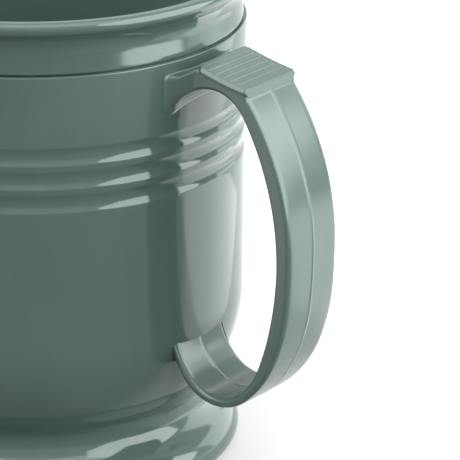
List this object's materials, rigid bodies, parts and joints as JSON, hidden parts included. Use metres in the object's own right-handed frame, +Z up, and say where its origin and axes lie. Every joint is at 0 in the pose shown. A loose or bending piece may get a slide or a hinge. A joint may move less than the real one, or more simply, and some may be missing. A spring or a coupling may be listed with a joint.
{
  "type": "insulated mug",
  "caption": "Double-walled moulded plastic mug with a rolled lip, a collar seam, shallow rings round the body, a waisted foot and a strap handle with a ribbed thumb rest.",
  "frame": {"origin": "on the mug's axis, in the plane of the foot ring that it stands on", "axes": "+Z up along the mug's axis, +X from the axis towards the handle, +Y to the left of the handle seen from the handle's side"},
  "size_m": [0.1083, 0.0848, 0.0974],
  "materials": {
    "outer_shell": "gloss moulded sage green",
    "handle": "gloss moulded sage green",
    "inner_liner": "gloss moulded sage green",
    "insulation_foam": "rigid foam",
    "base_plug": "gloss moulded sage green"
  },
  "bodies": {
    "root": {"outer_shell": "outer_shell", "handle": "handle", "inner_liner": "inner_liner", "insulation_foam": "insulation_foam", "base_plug": "base_plug"}
  },
  "joints": []
}
